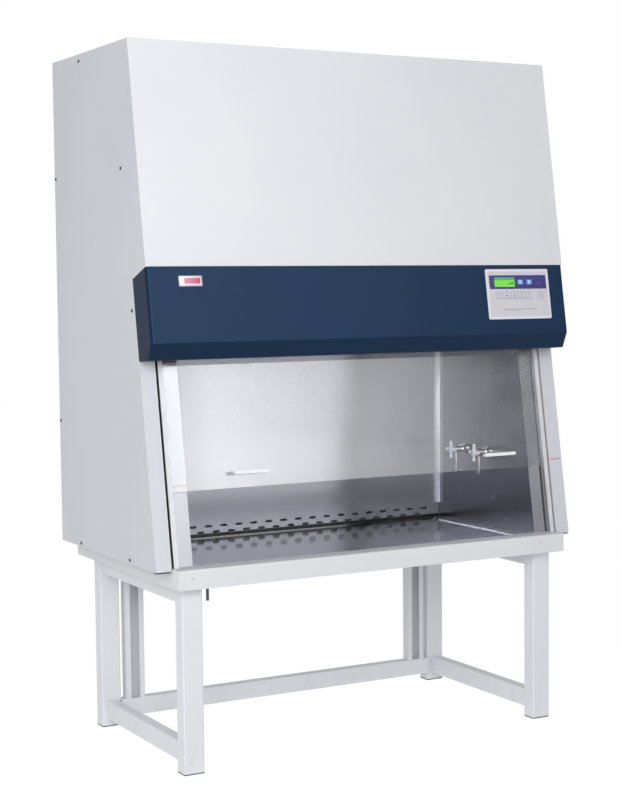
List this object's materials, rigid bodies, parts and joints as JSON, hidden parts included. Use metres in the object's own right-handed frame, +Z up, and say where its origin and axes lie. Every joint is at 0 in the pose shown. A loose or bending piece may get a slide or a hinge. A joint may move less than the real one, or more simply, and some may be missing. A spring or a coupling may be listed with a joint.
{
  "type": "biosafety cabinet",
  "caption": "Floor-standing biosafety cabinet with a sloping sliding glass sash, steel work chamber, blue control housing and an open tube stand.",
  "frame": {"origin": "on the floor, under the middle of the cabinet's width and depth", "axes": "+Z up, -Y towards the user at the front, +X to the user's right"},
  "size_m": [1.3644, 0.736, 1.972],
  "materials": {
    "case_paint": "smooth satin",
    "side_paint": "smooth satin",
    "base_paint": "smooth satin",
    "stand_paint": "smooth satin",
    "blue_paint": "smooth satin",
    "foot_rubber": "matt",
    "chamber_steel": "fine brushed",
    "inner_steel": "galvanised",
    "track_metal": "satin",
    "sash_glass": "clear",
    "handle_metal": "satin",
    "cable_steel": "stranded",
    "pulley_plastic": "moulded",
    "axle_steel": "turned",
    "weight_iron": "painted",
    "filter_frame": "extruded",
    "filter_paper": "pleated glass fibre",
    "gasket": "foam",
    "blower_metal": "sheet",
    "keypad_film": "satin film",
    "key_rubber": "satin",
    "display_plastic": "tinted",
    "module": "lit",
    "board": "laminate",
    "lamp_glass": "coated",
    "holder_plastic": "moulded",
    "cock_metal": "plated",
    "cock_handle": "moulded",
    "inlet_plastic": "moulded"
  },
  "bodies": {
    "cabinet": {"top_panel": "case_paint", "upper_front_panel": "case_paint", "rear_panel": "case_paint", "left_side_panel": "side_paint", "right_side_panel": "side_paint", "base_pan": "base_paint", "stand_legs": "stand_paint", "stand_beams": "stand_paint", "rear_rails": "stand_paint", "control_housing": "blue_paint", "leg_caps": "foot_rubber", "left_inner_wall": "chamber_steel", "right_inner_wall": "chamber_steel", "chamber_back_wall": "chamber_steel", "rear_slot_strip": "chamber_steel", "work_tray": "chamber_steel", "front_intake_grille": "chamber_steel", "tray_ledges": "chamber_steel", "downflow_diffuser": "chamber_steel", "counterweight_guides": "inner_steel", "filter_rails": "inner_steel", "plenum_walls": "inner_steel", "blower_deck": "inner_steel", "exhaust_duct": "inner_steel", "exhaust_guard": "inner_steel", "sash_tracks": "track_metal", "sash_cables": "cable_steel", "pulley_axles": "axle_steel", "case_screws": "axle_steel", "drain_spout": "axle_steel", "supply_filter_frame": "filter_frame", "exhaust_filter_frame": "filter_frame", "filter_packs": "filter_paper", "filter_gaskets": "gasket", "blower_scroll": "blower_metal", "blower_motor": "blower_metal", "keypad_plate": "keypad_film", "display_window": "display_plastic", "display_modules": "module", "control_board": "board", "lamp_tubes": "lamp_glass", "lamp_holders": "holder_plastic", "service_cocks": "cock_metal", "power_inlet": "inlet_plastic"},
    "sash": {"sash_glass": "sash_glass", "sash_top_rail": "track_metal", "sash_handles": "handle_metal"},
    "left_weight": {"left_counterweight": "weight_iron"},
    "right_weight": {"right_counterweight": "weight_iron"},
    "left_pulley_wheel": {"left_pulley": "pulley_plastic"},
    "right_pulley_wheel": {"right_pulley": "pulley_plastic"},
    "front_cock_top": {"front_cock_handle": "cock_handle"},
    "rear_cock_top": {"rear_cock_handle": "cock_handle"},
    "fan_wheel": {"blower_wheel": "blower_metal"},
    "key_cap_1": {"key_1": "key_rubber"},
    "key_cap_2": {"key_2": "key_rubber"},
    "key_cap_3": {"key_3": "key_rubber"},
    "key_cap_4": {"key_4": "key_rubber"},
    "key_cap_5": {"key_5": "key_rubber"},
    "key_cap_6": {"key_6": "key_rubber"}
  },
  "joints": [
    {"name": "sash_slide", "type": "slide", "parent": "cabinet", "child": "sash", "axis": [0, 0.159, 0.9873], "range_m": [-0.2015, 0.3], "deforming": ["sash_cables"]},
    {"name": "left_weight_slide", "type": "slide", "parent": "cabinet", "child": "left_weight", "axis": [0, 0, 1], "range_m": [-0.3005, 0.202]},
    {"name": "right_weight_slide", "type": "slide", "parent": "cabinet", "child": "right_weight", "axis": [0, 0, 1], "range_m": [-0.3005, 0.202]},
    {"name": "left_pulley_turn", "type": "hinge", "parent": "cabinet", "child": "left_pulley_wheel", "pos_m": [-0.622, -0.0834, 1.85], "axis": [1, 0, 0], "range_deg": [-574, 386]},
    {"name": "right_pulley_turn", "type": "hinge", "parent": "cabinet", "child": "right_pulley_wheel", "pos_m": [0.622, -0.0834, 1.85], "axis": [1, 0, 0], "range_deg": [-574, 386]},
    {"name": "front_cock_turn", "type": "hinge", "parent": "cabinet", "child": "front_cock_top", "pos_m": [0.559, -0.001, 0.78], "axis": [1, 0, 0], "range_deg": [0, 540]},
    {"name": "rear_cock_turn", "type": "hinge", "parent": "cabinet", "child": "rear_cock_top", "pos_m": [0.559, 0.129, 0.78], "axis": [1, 0, 0], "range_deg": [0, 540]},
    {"name": "fan_spin", "type": "hinge", "parent": "cabinet", "child": "fan_wheel", "pos_m": [-0.14, 0.109, 1.7], "axis": [1, 0, 0], "continuous": true},
    {"name": "key_1_press", "type": "slide", "parent": "cabinet", "child": "key_cap_1", "axis": [0, 0.9873, -0.159], "range_m": [0, 0.0008], "stiffness_N_per_m": 1500, "springref_m": -0.0005},
    {"name": "key_2_press", "type": "slide", "parent": "cabinet", "child": "key_cap_2", "axis": [0, 0.9873, -0.159], "range_m": [0, 0.0008], "stiffness_N_per_m": 1500, "springref_m": -0.0005},
    {"name": "key_3_press", "type": "slide", "parent": "cabinet", "child": "key_cap_3", "axis": [0, 0.9873, -0.159], "range_m": [0, 0.0008], "stiffness_N_per_m": 1500, "springref_m": -0.0005},
    {"name": "key_4_press", "type": "slide", "parent": "cabinet", "child": "key_cap_4", "axis": [0, 0.9873, -0.159], "range_m": [0, 0.0008], "stiffness_N_per_m": 1500, "springref_m": -0.0005},
    {"name": "key_5_press", "type": "slide", "parent": "cabinet", "child": "key_cap_5", "axis": [0, 0.9873, -0.159], "range_m": [0, 0.0008], "stiffness_N_per_m": 1500, "springref_m": -0.0005},
    {"name": "key_6_press", "type": "slide", "parent": "cabinet", "child": "key_cap_6", "axis": [0, 0.9873, -0.159], "range_m": [0, 0.0008], "stiffness_N_per_m": 1500, "springref_m": -0.0005}
  ],
  "couplings": [
    {"joint": "left_weight_slide", "follows": "sash_slide", "ratio": -1},
    {"joint": "right_weight_slide", "follows": "sash_slide", "ratio": -1},
    {"joint": "left_pulley_turn", "follows": "sash_slide", "rad_per_m": -33.333},
    {"joint": "right_pulley_turn", "follows": "sash_slide", "rad_per_m": -33.333}
  ]
}
